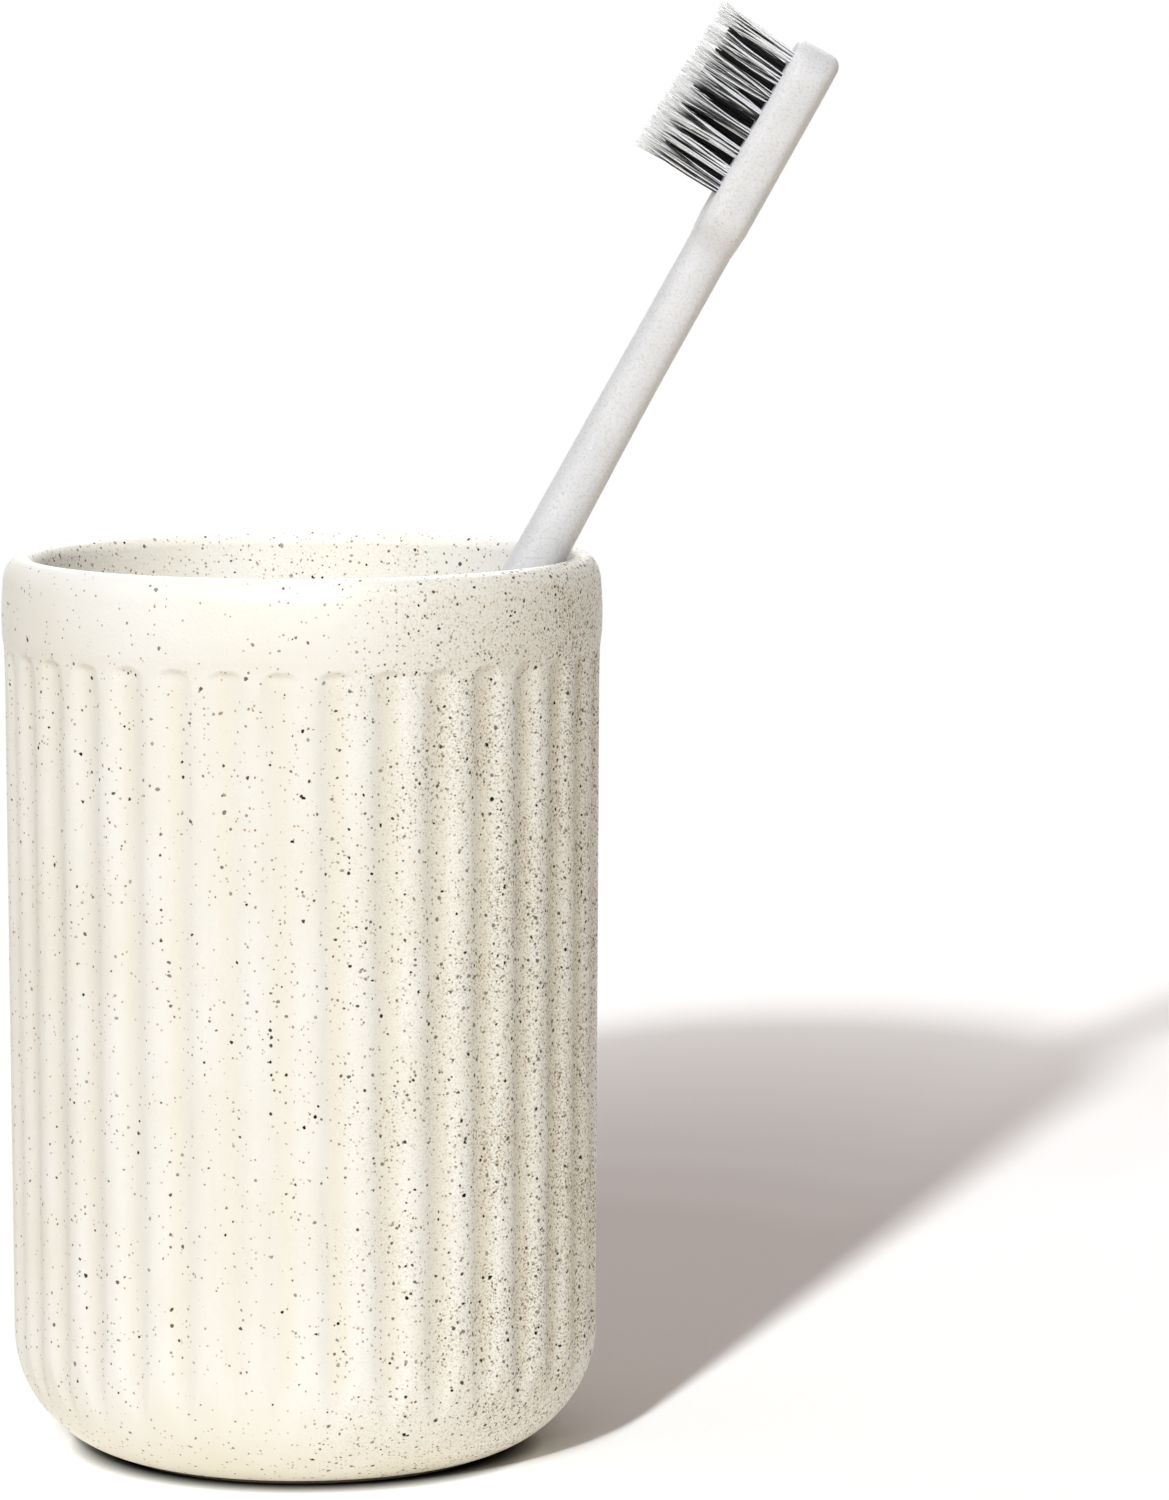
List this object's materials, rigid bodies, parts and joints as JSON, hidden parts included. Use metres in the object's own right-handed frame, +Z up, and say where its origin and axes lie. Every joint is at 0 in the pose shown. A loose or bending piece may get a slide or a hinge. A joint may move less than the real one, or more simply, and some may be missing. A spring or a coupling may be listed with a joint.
{
  "type": "toothbrush holder",
  "caption": "Round fluted stoneware tumbler with a plain rim band, holding a toothbrush that leans in it and lifts out.",
  "frame": {"origin": "centre of the tumbler's flat foot, on the surface it stands on", "axes": "+Z up along the tumbler's axis; the brush leans towards +X; -Y is the side seen in the picture"},
  "size_m": [0.0973, 0.07, 0.1689],
  "materials": {
    "speckled_stoneware": "satin cream glaze with fine brown specks",
    "handle_plastic": "matt pale grey plant-fibre plastic with fine beige grain",
    "white_bristle": "off-white nylon",
    "charcoal_bristle": "charcoal nylon",
    "anchor_metal": "plain sheared sheet"
  },
  "bodies": {
    "tumbler": {"tumbler": "speckled_stoneware"},
    "toothbrush": {"brush_handle": "handle_plastic", "tuft_anchors": "anchor_metal", "white_tuft_left_1": "white_bristle", "white_tuft_left_2": "white_bristle", "white_tuft_left_3": "white_bristle", "white_tuft_left_4": "white_bristle", "white_tuft_left_5": "white_bristle", "white_tuft_left_6": "white_bristle", "white_tuft_left_7": "white_bristle", "white_tuft_left_8": "white_bristle", "white_tuft_right_1": "white_bristle", "white_tuft_right_2": "white_bristle", "white_tuft_right_3": "white_bristle", "white_tuft_right_4": "white_bristle", "white_tuft_right_5": "white_bristle", "white_tuft_right_6": "white_bristle", "white_tuft_right_7": "white_bristle", "white_tuft_right_8": "white_bristle", "charcoal_tuft_1": "charcoal_bristle", "charcoal_tuft_2": "charcoal_bristle", "charcoal_tuft_3": "charcoal_bristle", "charcoal_tuft_4": "charcoal_bristle", "charcoal_tuft_5": "charcoal_bristle", "charcoal_tuft_6": "charcoal_bristle", "charcoal_tuft_7": "charcoal_bristle"}
  },
  "joints": [
    {"name": "toothbrush_lift", "type": "slide", "parent": "tumbler", "child": "toothbrush", "axis": [0.4896, 0, 0.8719], "range_m": [0, 0.125]}
  ]
}
